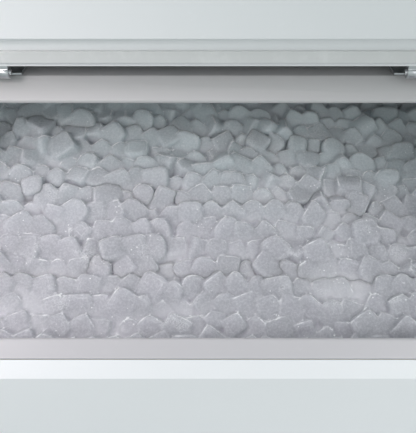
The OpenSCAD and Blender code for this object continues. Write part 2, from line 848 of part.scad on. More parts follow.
// Pump housing that hangs in the trough, with its motor above.
module water_pump() {
    z = trough_z0 + 6;
    color("dimgray") {
        difference() {
            union() {
                rod([pump_x, pump_y, z], 26, 28);
                rod([pump_x, pump_y, z + 28], 9, 62);
                rod([pump_x + 20, pump_y, z + 14], 6.5, 14, "x");
            }
            rod([pump_x, pump_y, z + 3], 22, 22);
            rod([pump_x, pump_y, z - 1], 8, 10);
            rod([pump_x, pump_y, z + 20], 3.07, 68);
            rod([pump_x + 10, pump_y, z + 14], 4.5, 30, "x");
        }
        rod([pump_x, pump_y, z + 90], 30, 60);
        block([pump_x - 22, pump_y, z + 90], [pump_x + 22, trough_y1 + 4, z + 93]);
        block([pump_x - 22, trough_y1 + gap, z + 58], [pump_x + 22, trough_y1 + 4, z + 93]);
    }
}

module pump_impeller() {
    z = trough_z0 + 6;
    color("white") translate([pump_x, pump_y, 0]) {
        rod([0, 0, z + 6], 3, 78);
        rod([0, 0, z + 6], 19, 2);
        for (k = [0:5]) rotate(k * 60) block([2, -1, z + 7], [18, 1, z + 20]);
    }
}

// Water tube over the grid with a row of holes, and its riser from the pump.
module distributor_tube() {
    y = evap_y + evap_t / 2;
    z0 = trough_z0 + 20;
    color("white") difference() {
        union() {
            rod([evap_x0 - 8, y, tube_z], 8, tube_x - evap_x0 + 8, "x");
            rod([tube_x, y, tube_z], 8, pump_y - y, "y");
            rod([tube_x, pump_y, z0], 8, tube_z - z0);
            rod([pump_x + 34 + gap, pump_y, z0], 8, tube_x - pump_x - 34 - gap, "x");
            for (p = [[tube_x, y, tube_z], [tube_x, pump_y, tube_z], [tube_x, pump_y, z0]])
                translate(p) sphere(8);
        }
        for (x = [evap_x0 + 20:22:evap_x1 - 20]) rod([x, y, tube_z - 12], 1.6, 12);
    }
}

// Probe that feels how thick the ice has grown.
module thickness_probe() {
    color("gray") {
        difference() {
            block([probe_x - 5, probe_y - 9, probe_z - 90], [probe_x + 5, probe_y - 4, probe_z + 9]);
            block([probe_x - 2, probe_y - 20, probe_z - 80], [probe_x + 2, probe_y + 1, probe_z - 30]);
        }
        rod([evap_x0 - 8, probe_y - 4, probe_z], 4, probe_x - evap_x0 + 16, "x");
        for (d = [-4, 4]) rod([probe_x + d, probe_y - 5, probe_z - 84], 0.9, 8, "y");
    }
}

// Level switch: a stem with two stops, hung from the trough's rear wall.
module float_stem() {
    z = trough_z0 + 3;
    color("white") {
        rod([float_x, float_y, z + 6], 3, 90);
        rod([float_x, float_y, z + 6], 7, 3);
        rod([float_x, float_y, z + 58], 7, 3);
        rod([float_x, float_y, z + 88], 10, 16);
        block([float_x - 9, float_y, z + 88], [float_x + 9, trough_y1 + 4, z + 91]);
        block([float_x - 9, trough_y1 + gap, z + 60], [float_x + 9, trough_y1 + 4, z + 91]);
    }
}

module float_ball() {
    z = trough_z0 + 3;
    color("white") difference() {
        rod([float_x, float_y, z + 9 + gap], 14, 24);
        rod([float_x, float_y, trough_z0], 3.08, 60);
    }
}

// Inlet valve with its coil and the nipple through the back panel.
module water_valve() {
    z = head_low + 90;
    x = 320;
    color("white") difference() {
        union() {
            rod([x, back - 60, z], 10, 61, "y");
            rod([x, back + gap, z], 11, spigot, "y");
            block([x - 16, back - 58, z - 16], [x + 16, back - 2, z + 16]);
            rod([x, back - 34, z + 15], 15, 34);
            block([x - 12, back - 58, base_floor], [x + 12, back - 40, z - 15]);
        }
        rod([x, back - 50, z], 7, 80, "y");
    }
}

// Valve that empties the trough through the back panel.
module dump_valve() {
    z = head_low + 60;
    y0 = trough_y1 + 8 + gap;
    color("white") difference() {
        union() {
            rod([200, y0, z], 10, back - y0 + 1, "y");
            rod([200, back + gap, z], 11, spigot, "y");
            block([184, y0 + 30, z - 16], [216, y0 + 80, z + 16]);
            rod([200, y0 + 55, z + 15], 15, 36);
            block([190, y0 + 40, base_floor], [210, y0 + 60, z - 15]);
        }
        rod([200, y0 - 1, z], 6, 200, "y");
    }
}

// Open electrical box that stands on the tray behind the front panel.
module control_box() {
    x0 = -368;
    y0 = head_front + 8;
    z0 = base_floor;
    color("silver") difference() {
        block([x0, y0, z0], [x0 + 310, y0 + 120, z0 + 190]);
        block([x0 + 1.5, y0 - 1, z0 + 1.5], [x0 + 308.5, y0 + 118.5, z0 + 188.5]);
    }
}

// Circuit board with its relays on pillars, and the contactor beside it.
module control_board() {
    x0 = -350;
    y1 = head_front + 8 + 118.5;
    z0 = base_floor + 24;
    color("green") {
        block([x0, y1 - 12, z0], [x0 + 170, y1 - 10, z0 + 130]);
        for (x = [8, 162], z = [8, 122]) rod([x0 + x, y1 - 10.5, z0 + z], 3, 10.5, "y");
    }
    color("black") {
        for (k = [0:3]) block([x0 + 16 + k * 38, y1 - 32, z0 + 90], [x0 + 40 + k * 38, y1 - 11, z0 + 116]);
        block([x0 + 40, y1 - 16, z0 + 30], [x0 + 76, y1 - 11, z0 + 52]);
        block([x0 + 200, y1 - 72, z0], [x0 + 270, y1, z0 + 90]);
    }
}

// Bezel and housing of the switch.
module switch_body() {
    w = switch_w / 2;
    h = switch_h / 2;
    color("black") translate([switch_x, 0, switch_z]) difference() {
        union() {
            block([-w - 4, head_front - 2, -h - 4], [w + 4, head_front, h + 4]);
            block([-w + 0.3, head_front - 1, -h + 0.3], [w - 0.3, head_front + 30, h - 0.3]);
        }
        block([-w + 2.4, head_front - 9, -h + 2.4], [w - 2.4, head_front + 27, h - 2.4]);
        rod([-30, rocker_y, 0], 2.05, 60, "x");
    }
}

// Rocker that pivots in the housing.
module rocker_switch() {
    color("black") {
        intersection() {
            rod([switch_x - switch_w / 2 + 3, rocker_y, switch_z], 14, switch_w - 6, "x");
            block([switch_x - 20, rocker_y - 20, switch_z - 12], [switch_x + 20, rocker_y + 20, switch_z + 12]);
        }
        rod([switch_x - switch_w / 2 + 0.6, rocker_y, switch_z], 2, switch_w - 1.2, "x");
    }
}

// Copper lines between the compressor, the condenser and the grid.
module refrigerant_lines() {
    z = base_floor;
    x = coil_x1 + 12;
    y = evap_y + evap_t + 30;
    high = coil_z0 + 278;
    color("peru") {
        tube_path([[comp_x + 40, comp_y - 10, z + 209.8], [comp_x + 40, comp_y - 10, high],
            [x, comp_y - 10, high], [x, coil_y + 13, high], [coil_x1 + 4, coil_y + 13, high]]);
        tube_path([[comp_x - 40, comp_y + 10, z + 209.8], [comp_x - 40, comp_y + 10, head_low + 400],
            [comp_x - 40, 340, head_low + 400], [evap_x0 + 24, 340, head_low + 400],
            [evap_x0 + 24, y, head_low + 400]]);
        tube_path([[coil_x1 + 4, coil_y + 32, coil_z0 + 54], [x, coil_y + 32, coil_z0 + 54],
            [x, 158, coil_z0 + 54]]);
        tube_path([[x, 272, coil_z0 + 54], [x, 360, coil_z0 + 54], [x, 360, head_low + 220],
            [evap_x0 + 24, 360, head_low + 220], [evap_x0 + 24, y, head_low + 220]]);
    }
}

// A tube with round elbows through a list of points.
module tube_path(points) {
    for (k = [0:len(points) - 2]) {
        d = points[k + 1] - points[k];
        axis = abs(d[0]) > 1 ? "x" : abs(d[1]) > 1 ? "y" : "z";
        start = (d[0] + d[1] + d[2] < 0) ? points[k + 1] : points[k];
        rod(start, tube_r, norm(d), axis);
    }
    for (k = [1:len(points) - 2]) translate(points[k]) sphere(tube_r);
}

// Filter and drier in the liquid line.
module filter_drier() {
    color("peru") translate([coil_x1 + 12, 158 + gap, coil_z0 + 54]) rotate([-90, 0, 0])
        rotate_extrude() polygon([
            [0, 0], [tube_r + 1, 0], [tube_r + 1, 10], [16, 22], [16, 92],
            [tube_r + 1, 104], [tube_r + 1, 113], [0, 113]
        ]);
}

module cable_gland() {
    z = head_low + 70;
    color("black") difference() {
        union() {
            translate([-320, back, z]) rotate([-90, 0, 0]) cylinder(r = 15, h = 5, $fn = 6);
            rod([-320, back - 12, z], 10.6, 14, "y");
            rod([-320, back + 4, z], 11.5, 5, "y");
        }
        rod([-320, back - 20, z], 5, 60, "y");
    }
}

bin_shell();
bin_base();
bin_foam();
bin_liner();
bin_top_rim();
sill_frame();
door_header();
drain_fitting();
legs();
foot(-1, -1);  // foot_front_left
foot(1, -1);  // foot_front_right
foot(-1, 1);  // foot_rear_left
foot(1, 1);  // foot_rear_right
ice_bed();
hinge_brackets();
hinge_pins();
door_outer();
door_liner();
door_foam();
door_gasket();
door_handle();
door_hinge_arms();
door_bumpers();
head_gasket();
head_base();
side_panel(-1);  // side_panel_left
side_panel(1);  // side_panel_right
back_panel();
top_panel();
front_panel();
front_grille();
panel_screws();
partition();
air_filter();
condenser();
fan_shroud();
fan_motor();
fan_blade();
compressor();
compressor_grommets();
evaporator();
evaporator_coil();
evaporator_frame();
water_curtain();
water_trough();
water_pump();
pump_impeller();
distributor_tube();
thickness_probe();
float_stem();
float_ball();
water_valve();
dump_valve();
control_box();
control_board();
switch_body();
rocker_switch();
refrigerant_lines();
filter_drier();
cable_gland();
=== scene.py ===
"""Looks of a commercial ice maker: an ice-making head on a slope-front bin full of ice.

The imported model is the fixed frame. Its nodes get procedural finishes and soft edges, and
the bed of ice is built anew as a heap of loose, half-fused cubes.
"""

import json
import logging
import math
import random
from dataclasses import dataclass, field
from enum import Enum
from typing import Dict, List, Optional, Sequence, Tuple, Union

import bmesh
import bpy
import numpy as np
from mathutils import Euler, Matrix, Vector, noise


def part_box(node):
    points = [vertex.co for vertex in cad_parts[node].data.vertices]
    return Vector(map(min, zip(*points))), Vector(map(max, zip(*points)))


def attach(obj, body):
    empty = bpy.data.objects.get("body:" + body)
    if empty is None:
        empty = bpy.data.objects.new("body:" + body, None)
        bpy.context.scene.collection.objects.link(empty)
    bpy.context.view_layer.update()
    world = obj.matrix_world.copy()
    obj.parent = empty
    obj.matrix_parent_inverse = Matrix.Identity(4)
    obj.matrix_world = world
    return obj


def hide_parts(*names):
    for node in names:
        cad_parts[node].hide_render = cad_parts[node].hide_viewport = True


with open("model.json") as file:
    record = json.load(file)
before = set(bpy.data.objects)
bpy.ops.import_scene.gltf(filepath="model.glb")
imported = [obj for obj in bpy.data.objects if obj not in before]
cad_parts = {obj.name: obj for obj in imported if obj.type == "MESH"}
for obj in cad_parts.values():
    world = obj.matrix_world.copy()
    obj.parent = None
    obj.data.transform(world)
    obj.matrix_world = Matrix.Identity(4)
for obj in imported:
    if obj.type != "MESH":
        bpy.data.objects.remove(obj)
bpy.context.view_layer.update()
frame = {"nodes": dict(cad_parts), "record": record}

LOG = logging.getLogger("ice_maker")
Colour = Tuple[float, float, float]
Point = Tuple[float, float, float]
Span = Tuple[float, float]
Value = Union["Sock", float, int]
Places = Union[float, np.ndarray]


class Direction(Enum):
    """The way a brushed or drawn grain runs."""

    ALONG_X = (1.0, 0.0, 0.0)
    ALONG_Y = (0.0, 1.0, 0.0)
    ALONG_Z = (0.0, 0.0, 1.0)


class Edge(Enum):
    """How far a carried-over part's edges are eased, in metres."""

    NONE = 0.0
    SHEET = 0.0004
    FINE = 0.0007
    MOULDED = 0.0014
    SOFT = 0.0024


# ---------------------------------------------------------------- shader expressions

# Sockets of a Mix node that mixes colours, which share their names with its other kinds.
MIX_FACTOR, MIX_FIRST, MIX_SECOND, MIX_RESULT = 0, 6, 7, 2


class Sock:
    """An output socket that can stand in a Python expression."""

    def __init__(self, shader: "Shader", socket: bpy.types.NodeSocket) -> None:
        """Keeps the socket and the shader it belongs to.

        Args:
            shader: the shader whose tree holds the socket.
            socket: the output socket itself.
        """
        self.shader = shader
        self.socket = socket

    def __add__(self, other: Value) -> "Sock":
        """Sum."""
        return self.shader.math("ADD", self, other)

    __radd__ = __add__

    def __sub__(self, other: Value) -> "Sock":
        """Difference."""
        return self.shader.math("SUBTRACT", self, other)

    def __rsub__(self, other: Value) -> "Sock":
        """Reflected difference."""
        return self.shader.math("SUBTRACT", other, self)

    def __mul__(self, other: Value) -> "Sock":
        """Product."""
        return self.shader.math("MULTIPLY", self, other)

    __rmul__ = __mul__

    def clamp(self) -> "Sock":
        """The value held between 0 and 1."""
        return self.shader.math("MAXIMUM", self.shader.math("MINIMUM", self, 1.0), 0.0)


class Shader:
    """A material whose nodes are made by expressions."""

    def __init__(self, name: str) -> None:
        """Starts a material with a Principled shader wired to its output.

        Args:
            name: the material's name.
        """
        self.material = bpy.data.materials.new(name)
        self.material.use_nodes = True
        self.tree = self.material.node_tree
        self.tree.nodes.clear()
        self.output = self.tree.nodes.new("ShaderNodeOutputMaterial")
        self.surface = self.tree.nodes.new("ShaderNodeBsdfPrincipled")
        self.tree.links.new(self.surface.outputs["BSDF"], self.output.inputs["Surface"])

    def plug(self, socket: bpy.types.NodeSocket, value: object) -> None:
        """Links or sets one input socket.

        Args:
            socket: the input socket.
            value: a Sock to link, or a plain value to set.
        """
        if isinstance(value, Sock):
            self.tree.links.new(value.socket, socket)
        elif isinstance(value, tuple) and socket.type == "RGBA" and len(value) == 3:
            socket.default_value = (*value, 1.0)
        else:
            socket.default_value = value

    def node(
        self,
        kind: str,
        settings: Optional[Dict[str, object]] = None,
        inputs: Optional[Dict[Union[str, int], object]] = None,
        out: Union[str, int] = 0,
    ) -> Sock:
        """Makes any node.

        Args:
            kind: the node's type name.
            settings: properties, which are set first.
            inputs: values or links, by socket name or index.
            out: which output is returned.

        Returns:
            The chosen output socket.
        """
        made = self.tree.nodes.new(kind)
        for key, value in (settings or {}).items():
            setattr(made, key, value)
        for key, value in (inputs or {}).items():
            self.plug(made.inputs[key], value)
        return Sock(self, made.outputs[out])

    def math(self, operation: str, first: Value, second: Value = 0.0) -> Sock:
        """A Math node."""
        return self.node("ShaderNodeMath", {"operation": operation}, {0: first, 1: second})

    def rise(self, value: Sock, low: float, high: float) -> Sock:
        """A smooth step from 0 to 1 between two values."""
        return self.node(
            "ShaderNodeMapRange",
            {"interpolation_type": "SMOOTHSTEP"},
            {"Value": value, "From Min": low, "From Max": high},
        )

    def place(self, scale: Point = (1.0, 1.0, 1.0)) -> Sock:
        """Object coordinates, stretched."""
        raw = self.node("ShaderNodeTexCoord", out="Object")
        return self.node("ShaderNodeMapping", inputs={"Vector": raw, "Scale": scale})

    def along(self, axis: str) -> Sock:
        """One object coordinate, in metres."""
        return self.node("ShaderNodeSeparateXYZ", inputs={"Vector": self.place()}, out=axis)

    def grain(
        self, scale: float, detail: float = 3.0, rough: float = 0.55, where: Optional[Sock] = None
    ) -> Sock:
        """Noise from 0 to 1 at a scale per metre."""
        return self.node(
            "ShaderNodeTexNoise",
            inputs={
                "Vector": where or self.place(),
                "Scale": scale,
                "Detail": detail,
                "Roughness": rough,
            },
        )

    def cells(self, scale: float, feature: str = "F1") -> Sock:
        """Distance to the nearest cell point, or to a cell's edge."""
        return self.node(
            "ShaderNodeTexVoronoi",
            {"feature": feature},
            {"Vector": self.place(), "Scale": scale},
            out="Distance",
        )

    def reading(self, name: str) -> Sock:
        """A number stored on the mesh's points."""
        return self.node("ShaderNodeAttribute", {"attribute_name": name}, out="Fac")

    def blend(self, factor: Value, first: object, second: object) -> Sock:
        """Mix of two colours."""
        return self.node(
            "ShaderNodeMix",
            {"data_type": "RGBA"},
            {MIX_FACTOR: factor, MIX_FIRST: first, MIX_SECOND: second},
            out=MIX_RESULT,
        )

    def tint(self, colour: Colour, factor: Sock, low: float, high: float) -> Sock:
        """A colour whose lightness runs between two shares of itself.

        Args:
            colour: the middle colour.
            factor: a value from 0 to 1.
            low: share of the colour's lightness at 0.
            high: share at 1.

        Returns:
            The colour that results.
        """
        dark = tuple(min(1.0, c * low) for c in colour)
        light = tuple(min(1.0, c * high) for c in colour)
        return self.blend(factor, dark, light)

    def bump(self, height: Sock, strength: float, distance: float) -> Sock:
        """A normal that is pushed by a height field, in metres."""
        return self.node(
            "ShaderNodeBump",
            inputs={"Height": height, "Strength": strength, "Distance": distance},
        )

    def set(self, **values: object) -> None:
        """Sets or links the Principled shader's inputs, named with underscores."""
        for key, value in values.items():
            self.plug(self.surface.inputs[key.replace("_", " ")], value)


# ---------------------------------------------------------------- finishes


@dataclass(frozen=True)
class Finish:
    """What every finish shares."""

    name: str
    colour: Colour

    def material(self) -> bpy.types.Material:
        """Builds the material.

        Returns:
            A node-based material.
        """
        raise NotImplementedError


@dataclass(frozen=True)
class PowderCoat(Finish):
    """Baked powder paint with a faint orange peel."""

    roughness: float = 0.42
    peel: float = 0.25

    def material(self) -> bpy.types.Material:
        """Builds the paint."""
        s = Shader(self.name)
        cloud = s.grain(3.0, 4.0)
        speck = s.grain(420.0, 2.0)
        low_down = 1.0 - s.rise(s.along("Z"), 0.16, 0.5)
        scuff = s.rise(s.grain(38.0, 6.0, 0.7), 0.56, 0.72) * low_down
        base = s.tint(self.colour, cloud * 0.7 + speck * 0.3, 0.965, 1.025)
        base = s.blend(scuff * 0.25, base, tuple(c * 0.72 for c in self.colour))
        s.set(
            Base_Color=base,
            Roughness=(self.roughness + 0.10 * (cloud - 0.5) + 0.15 * scuff).clamp(),
            Specular_IOR_Level=0.5,
            Normal=s.bump(speck + 0.5 * s.grain(160.0, 2.0), self.peel, 0.00012),
        )
        return s.material


@dataclass(frozen=True)
class Brushed(Finish):
    """Brushed or rolled metal sheet with a grain that runs one way."""

    direction: Direction = Direction.ALONG_X
    roughness: float = 0.36
    contrast: float = 0.08
    metal: float = 1.0

    def material(self) -> bpy.types.Material:
        """Builds the metal."""
        s = Shader(self.name)
        run = self.direction.value
        fine = tuple(6.0 if r else 900.0 for r in run)
        broad = tuple(1.2 if r else 150.0 for r in run)
        lines = s.grain(1.0, 3.0, 0.6, s.place(fine))
        bands = s.grain(1.0, 2.0, 0.5, s.place(broad))
        smudge = s.grain(7.0, 5.0, 0.6)
        mark = s.rise(s.grain(24.0, 5.0, 0.65), 0.55, 0.75)
        streak = lines * 0.6 + bands * 0.4
        s.set(
            Base_Color=s.tint(self.colour, streak, 1.0 - self.contrast, 1.0 + self.contrast),
            Metallic=self.metal,
            Roughness=(
                self.roughness + 0.14 * (streak - 0.5) + 0.10 * (smudge - 0.5) + 0.07 * mark
            ).clamp(),
            Anisotropic=0.35,
            Normal=s.bump(streak, 0.18, 0.00006),
        )
        return s.material


@dataclass(frozen=True)
class Moulded(Finish):
    """Moulded plastic with a fine texture and a little mottling."""

    roughness: float = 0.5
    texture: float = 0.2
    pitch: float = 900.0
    mottle: float = 0.03
    glow: float = 0.0

    def material(self) -> bpy.types.Material:
        """Builds the plastic."""
        s = Shader(self.name)
        cloud = s.grain(9.0, 4.0)
        skin = s.grain(self.pitch, 2.0)
        flow = s.grain(1.0, 3.0, 0.5, s.place((5.0, 14.0, 14.0)))
        base = s.tint(
            self.colour, cloud * 0.6 + flow * 0.4, 1.0 - 2 * self.mottle, 1.0 + self.mottle
        )
        rubbed = s.rise(s.grain(45.0, 6.0, 0.7), 0.58, 0.74)
        base = s.blend(rubbed * 0.2, base, tuple(min(1.0, c * 1.12 + 0.006) for c in self.colour))
        s.set(
            Base_Color=base,
            Roughness=(self.roughness + 0.16 * (cloud - 0.5) + 0.06 * (skin - 0.5)).clamp(),
            Normal=s.bump(skin, self.texture, 0.00010),
        )
        if self.glow > 0.0:
            s.set(Subsurface_Weight=self.glow, Subsurface_Scale=0.006)
            s.set(Subsurface_Radius=(1.0, 1.0, 1.0))
        return s.material


@dataclass(frozen=True)
class Rubbery(Finish):
    """Soft rubber with a dusty bloom."""

    roughness: float = 0.75

    def material(self) -> bpy.types.Material:
        """Builds the rubber."""
        s = Shader(self.name)
        bloom = s.rise(s.grain(30.0, 5.0, 0.65), 0.45, 0.75)
        skin = s.grain(1400.0, 2.0)
        pale = tuple(min(1.0, c * 1.15 + 0.03) for c in self.colour)
        s.set(
            Base_Color=s.blend(bloom * 0.5, self.colour, pale),
            Roughness=(self.roughness + 0.12 * bloom).clamp(),
            Specular_IOR_Level=0.35,
            Normal=s.bump(skin, 0.3, 0.0001),
        )
        return s.material


@dataclass(frozen=True)
class FoamCells(Finish):
    """Cut rigid foam with open cells."""

    def material(self) -> bpy.types.Material:
        """Builds the foam."""
        s = Shader(self.name)
        pores = s.cells(620.0)
        cloud = s.grain(14.0, 4.0)
        base = s.tint(self.colour, cloud, 0.86, 1.06)
        # painted shade in the pits of the open cells
        pit_shade = (1.0 - pores * 1.4).clamp()
        s.set(
            Base_Color=s.blend(pit_shade * 0.25, base, tuple(c * 0.7 for c in self.colour)),
            Roughness=(0.86 + 0.1 * (cloud - 0.5)).clamp(),
            Normal=s.bump(pores, 0.5, 0.0004),
        )
        return s.material


@dataclass(frozen=True)
class BareCopper(Finish):
    """Drawn copper with heat tints and a dull bloom."""

    def material(self) -> bpy.types.Material:
        """Builds the copper."""
        s = Shader(self.name)
        tarnish = s.rise(s.grain(22.0, 5.0, 0.65), 0.4, 0.7)
        spots = s.rise(s.grain(120.0, 4.0, 0.6), 0.58, 0.7)
        base = s.blend(tarnish * 0.6, self.colour, (0.34, 0.17, 0.10))
        s.set(
            Base_Color=s.blend(spots * 0.3, base, (0.16, 0.10, 0.07)),
            Metallic=1.0,
            Roughness=(0.26 + 0.25 * tarnish + 0.1 * spots).clamp(),
            Normal=s.bump(s.grain(500.0, 3.0), 0.15, 0.0001),
        )
        return s.material


@dataclass(frozen=True)
class CircuitBoard(Finish):
    """Coated board with faint tracks under the coat."""

    def material(self) -> bpy.types.Material:
        """Builds the board."""
        s = Shader(self.name)
        tracks = s.rise(s.cells(130.0, "DISTANCE_TO_EDGE"), 0.03, 0.07)
        speck = s.grain(300.0, 2.0)
        light = tuple(min(1.0, c * 1.9 + 0.02) for c in self.colour)
        coat = s.tint(self.colour, speck, 0.9, 1.1)
        s.set(
            Base_Color=s.blend(1.0 - tracks, coat, light),
            Roughness=(0.32 + 0.1 * (1.0 - tracks)).clamp(),
            Normal=s.bump(1.0 - tracks, 0.3, 0.0001),
        )
        return s.material


@dataclass(frozen=True)
class FrostedIce(Finish):
    """Clear ice with a frosted skin, cloudy inside, with a painted highlight along its upper edges
    and painted shade and light in places.
    """

    # the frost's own colour, also used for the painted highlight of the rims
    frost_and_highlight_colour: Colour = (0.97, 0.97, 0.98)
    deep_colour: Colour = (0.40, 0.405, 0.43)
    # painted tint of the shade towards the back
    shade_tint_colour: Colour = (0.565, 0.63, 0.65)
    # pale frost in the hollows, also painted light lifting their shade
    hollow_frost_and_light_colour: Colour = (0.76, 0.75, 0.78)
    # painted light at the far back
    far_light_colour: Colour = (0.70, 0.77, 0.79)
    scatter: float = 0.030

    def material(self) -> bpy.types.Material:
        """Builds the ice."""
        s = Shader(self.name)
        edge = s.reading("edge")
        cloud = s.grain(48.0, 5.0, 0.6)
        frost = s.grain(380.0, 4.0, 0.7)
        patch = s.rise(s.grain(26.0, 3.0, 0.5), 0.585, 0.69)
        crystal = s.cells(620.0)
        # the cubes' edges: thin broken rims of painted highlight, a fainter painted line of light
        # inside them, and painted shade in the joins
        ragged = edge + 0.0022 * (s.grain(240.0, 3.0) - 0.5)
        broken = s.rise(s.grain(75.0, 3.0), 0.44, 0.66)
        # painted highlight along the cubes' upper edges, where the skin faces up and back
        rim = s.rise(ragged, -0.0022, -0.0007) * s.rise(s.reading("lift"), 0.0, 0.55)
        # painted line of light where a cube's far edges would show through the clear ice
        inner_light_line = s.rise(ragged, -0.0068, -0.0060) * (1.0 - s.rise(ragged, -0.0056, -0.0046))
        # painted shade in the joins between cubes, where little light reaches
        join_shade = (1.0 - s.rise(s.reading("join"), 0.0003, 0.0022)) * (1.0 - broken)
        # each cube's own tone, which differs at random, painted cooler towards the back as the
        # tint of the shade there and paler at the far back as painted light that lifts that shade
        depth = s.along("Y")
        # the far back, painted paler as light lifting the shade under the header
        far = s.rise(depth, -0.12, -0.05)
        # a ramp from the sill towards the back, where the ice lies in shade, for the painted tint
        # of that shade
        clear = s.rise(depth + 0.16 * (s.grain(11.0, 3.0) - 0.5), -0.27, -0.12)
        tone = s.blend(clear, self.colour, self.shade_tint_colour)
        tone = s.blend(far * 0.7, tone, self.far_light_colour)
        shade = s.reading("shade")
        fullness = 0.6 + 0.6 * (cloud - 0.5) + 0.35 * (shade - 0.5) + 0.8 * far
        body = s.blend(fullness.clamp(), self.deep_colour, tone)
        # frost on the skin, pale frost in the hollows that also lifts their shade as painted
        # light, and small painted glints
        body = s.blend(s.rise(frost, 0.35, 0.75) * 0.28, body, self.frost_and_highlight_colour)
        body = s.blend(patch * (1.0 - crystal * 1.3).clamp() * 0.45, body, self.frost_and_highlight_colour)
        # painted shade darkening the joins
        body = s.blend(join_shade * 0.12, body, tuple(c * 0.62 for c in self.deep_colour))
        # pale frost in the hollows, also painted light that lifts the shade there
        body = s.blend(s.reading("filled") * 0.9, body, self.hollow_frost_and_light_colour)
        # painted glints: small white specks standing in for highlights of the lamps
        painted_glint = (1.0 - s.rise(s.cells(170.0), 0.10, 0.20)) * s.rise(s.grain(31.0, 2.0), 0.52, 0.66)
        body = s.blend(painted_glint * 0.75, body, (1.0, 1.0, 1.0))
        # crushed ice between the cubes
        slush = s.reading("slush")
        chips = s.cells(230.0)
        body = s.blend(slush * s.rise(chips, 0.25, 0.65) * 0.6, body, self.deep_colour)
        # the painted inner line of light
        body = s.blend(inner_light_line * s.rise(cloud, 0.46, 0.66) * 0.16, body, self.frost_and_highlight_colour)
        wet = s.rise(s.grain(38.0, 3.0), 0.54, 0.68)
        # the painted rim highlight's strength, greater towards the back and along the rims' lit
        # stretches
        rim_highlight = (rim * (0.22 + 0.25 * clear + 0.72 * broken)).clamp()
        relief = frost * 0.3 + cloud * 0.8 + crystal * patch * 1.6 + chips * slush * 3.0
        s.set(
            # the painted rim highlight laid over the body
            Base_Color=s.blend(rim_highlight, body, self.frost_and_highlight_colour),
            Roughness=(0.5 + 0.25 * (frost - 0.5) - 0.30 * wet - 0.2 * patch).clamp(),
            IOR=1.31,
            Subsurface_Weight=0.9,
            Subsurface_Scale=self.scatter,
            Subsurface_Radius=(1.0, 1.0, 1.0),
            Sheen_Weight=0.3,
            Sheen_Roughness=0.3,
            Normal=s.bump(relief, 0.45, 0.0006),
        )
        return s.material


@dataclass(frozen=True)
class StudioFloor(Finish):
    """Plain pale floor."""

    def material(self) -> bpy.types.Material:
        """Builds the floor."""
        s = Shader(self.name)
        s.set(
            Base_Color=s.tint(self.colour, s.grain(2.0, 3.0), 0.985, 1.01),
            Roughness=0.8,
        )
        return s.material


WHITE: Colour = (0.87, 0.875, 0.885)
STEEL: Colour = (0.60, 0.61, 0.62)

FINISHES: Dict[str, Finish] = {
    "cabinet_white": PowderCoat("cabinet_white", WHITE),
    "liner_white": Moulded("liner_white", (0.87, 0.875, 0.88), 0.34, 0.08, 300.0, 0.012),
    "insulation": FoamCells("insulation", (0.74, 0.64, 0.36)),
    "header_satin": Brushed(
        "header_satin", (0.59, 0.575, 0.575), Direction.ALONG_X, 0.6, 0.02, 0.15
    ),
    "sill_white": Moulded("sill_white", (0.585, 0.562, 0.58), 0.34, 0.05, 260.0, 0.012),
    "zinc_sheet": Brushed("zinc_sheet", (0.52, 0.54, 0.56), Direction.ALONG_Y, 0.42, 0.06),
    "leg_grey": Moulded("leg_grey", (0.045, 0.047, 0.05), 0.5, 0.3),
    "zinc_steel": Brushed("zinc_steel", (0.55, 0.56, 0.58), Direction.ALONG_Z, 0.34, 0.08),
    "ice": FrostedIce("ice", (0.475, 0.464, 0.505)),
    "hinge_steel": Brushed("hinge_steel", STEEL, Direction.ALONG_X, 0.32, 0.06),
    "pin_steel": Brushed("pin_steel", (0.66, 0.66, 0.67), Direction.ALONG_X, 0.2, 0.04),
    "seal_white": Rubbery("seal_white", (0.70, 0.70, 0.69), 0.6),
    "handle_grey": Moulded("handle_grey", (0.055, 0.058, 0.062), 0.45, 0.3),
    "black_rubber": Rubbery("black_rubber", (0.018, 0.018, 0.018)),
    "panel_steel": Brushed("panel_steel", (0.58, 0.585, 0.59), Direction.ALONG_X, 0.34, 0.07),
    "grille_dark": Moulded("grille_dark", (0.022, 0.022, 0.024), 0.48, 0.3),
    "screw_steel": Brushed("screw_steel", (0.64, 0.64, 0.65), Direction.ALONG_Y, 0.22, 0.05),
    "filter_grey": Moulded("filter_grey", (0.07, 0.073, 0.078), 0.6, 0.3),
    "coil_aluminium": Brushed("coil_aluminium", (0.70, 0.71, 0.72), Direction.ALONG_Z, 0.28, 0.08),
    "shroud_dark": PowderCoat("shroud_dark", (0.03, 0.031, 0.033), 0.4),
    "motor_grey": PowderCoat("motor_grey", (0.10, 0.105, 0.11), 0.45),
    "fan_aluminium": Brushed("fan_aluminium", (0.66, 0.67, 0.68), Direction.ALONG_X, 0.35, 0.08),
    "compressor_black": PowderCoat("compressor_black", (0.012, 0.012, 0.013), 0.35),
    "grid_plated": Brushed("grid_plated", (0.68, 0.68, 0.66), Direction.ALONG_Z, 0.24, 0.05),
    "copper": BareCopper("copper", (0.62, 0.30, 0.17)),
    "frame_grey": Moulded("frame_grey", (0.34, 0.36, 0.38), 0.5, 0.2),
    "water_white": Moulded("water_white", (0.66, 0.70, 0.74), 0.28, 0.06, 300.0, 0.015, 0.25),
    "pump_grey": Moulded("pump_grey", (0.06, 0.064, 0.07), 0.5, 0.25),
    "valve_white": Moulded("valve_white", (0.56, 0.57, 0.57), 0.45, 0.2),
    "drain_grey": Moulded("drain_grey", (0.10, 0.105, 0.11), 0.5, 0.25),
    "board_green": CircuitBoard("board_green", (0.012, 0.07, 0.025)),
    "switch_black": Moulded("switch_black", (0.014, 0.014, 0.015), 0.4, 0.25),
}


@dataclass
class Wardrobe:
    """Finishes made once and shared."""

    made: Dict[str, bpy.types.Material] = field(default_factory=dict)

    def get(self, slot: str) -> bpy.types.Material:
        """The material of a slot, built the first time it is asked for.

        Args:
            slot: the record's material slot.

        Returns:
            The material.
        """
        if slot not in self.made:
            self.made[slot] = FINISHES[slot].material()
        return self.made[slot]


# ---------------------------------------------------------------- carried-over parts


